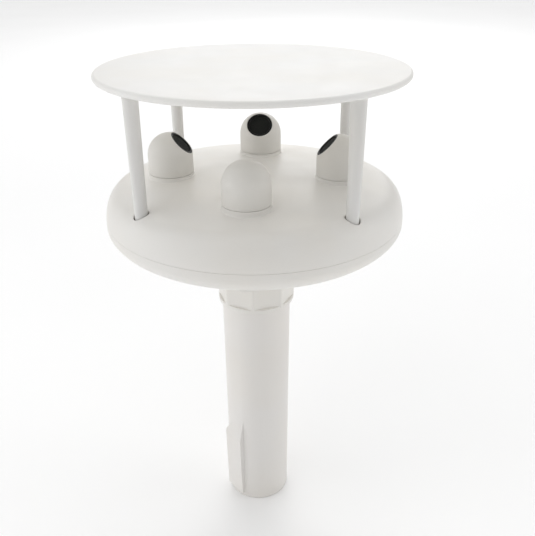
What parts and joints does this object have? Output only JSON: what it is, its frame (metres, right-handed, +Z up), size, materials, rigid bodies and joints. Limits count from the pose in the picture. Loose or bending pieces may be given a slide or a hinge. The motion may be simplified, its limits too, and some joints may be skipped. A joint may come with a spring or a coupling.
{
  "type": "ultrasonic wind sensor",
  "caption": "Compact ultrasonic wind sensor: round reflector plate on four legs over angled transducer domes, on a rounded housing with a mast mounting tube.",
  "frame": {"origin": "centre of the mounting tube's open lower end", "axes": "+Z up along the tube, +X to the right, -Y to the front, where one dome faces each of the four horizontal axes"},
  "size_m": [0.144, 0.144, 0.2464],
  "materials": {
    "plate_white": "fine satin moulded white, UV-stable plastic",
    "housing_white": "satin moulded warm white plastic",
    "dome_white": "satin moulded warm white plastic, slightly greyer",
    "tube_white": "semi-gloss extruded white plastic",
    "transducer_face": "fine grained matching layer, dark grey",
    "sleeve_rubber": "smooth black silicone",
    "seal_rubber": "matte black rubber",
    "stainless": "machined stainless steel",
    "tinned_steel": "tin-plated sheet",
    "connector_metal": "nickel plated",
    "brass": "machined brass",
    "circuit_board": "green solder mask",
    "black_nylon": "moulded black nylon",
    "lead_jacket": "extruded dark grey jacket"
  },
  "bodies": {
    "root": {"reflector_plate": "plate_white", "leg_back_right": "plate_white", "leg_screw_back_right": "stainless", "leg_back_left": "plate_white", "leg_screw_back_left": "stainless", "leg_front_left": "plate_white", "leg_screw_front_left": "stainless", "leg_front_right": "plate_white", "leg_screw_front_right": "stainless", "upper_shell": "housing_white", "lower_shell": "housing_white", "shell_seal": "seal_rubber", "housing_screw_right": "stainless", "housing_screw_back": "stainless", "housing_screw_left": "stainless", "housing_screw_front": "stainless", "sensor_dome_right": "dome_white", "transducer_right": "transducer_face", "transducer_sleeve_right": "sleeve_rubber", "transducer_lead_right": "lead_jacket", "dome_seal_right": "seal_rubber", "dome_nut_right": "black_nylon", "sensor_dome_back": "dome_white", "transducer_back": "transducer_face", "transducer_sleeve_back": "sleeve_rubber", "transducer_lead_back": "lead_jacket", "dome_seal_back": "seal_rubber", "dome_nut_back": "black_nylon", "sensor_dome_left": "dome_white", "transducer_left": "transducer_face", "transducer_sleeve_left": "sleeve_rubber", "transducer_lead_left": "lead_jacket", "dome_seal_left": "seal_rubber", "dome_nut_left": "black_nylon", "sensor_dome_front": "dome_white", "transducer_front": "transducer_face", "transducer_sleeve_front": "sleeve_rubber", "transducer_lead_front": "lead_jacket", "dome_seal_front": "seal_rubber", "dome_nut_front": "black_nylon", "main_board": "circuit_board", "shield_can": "tinned_steel", "harness_header": "black_nylon", "board_screw_back_right": "stainless", "board_screw_back_left": "stainless", "board_screw_front_left": "stainless", "board_screw_front_right": "stainless", "mounting_tube": "tube_white", "tube_locknut": "black_nylon", "neck_seal": "seal_rubber", "lock_insert_lower": "brass", "lock_insert_upper": "brass", "connector_shell": "connector_metal", "connector_insert": "black_nylon", "connector_seal": "seal_rubber", "connector_nut": "connector_metal", "wiring_harness": "lead_jacket"},
    "lock_screw_lower": {"lock_screw_lower": "stainless"},
    "lock_screw_upper": {"lock_screw_upper": "stainless"}
  },
  "joints": [
    {"name": "lock_screw_lower_travel", "type": "slide", "parent": "root", "child": "lock_screw_lower", "axis": [0, -1, 0], "range_m": [-0.001, 0.002]},
    {"name": "lock_screw_upper_travel", "type": "slide", "parent": "root", "child": "lock_screw_upper", "axis": [0, -1, 0], "range_m": [-0.001, 0.002]}
  ]
}
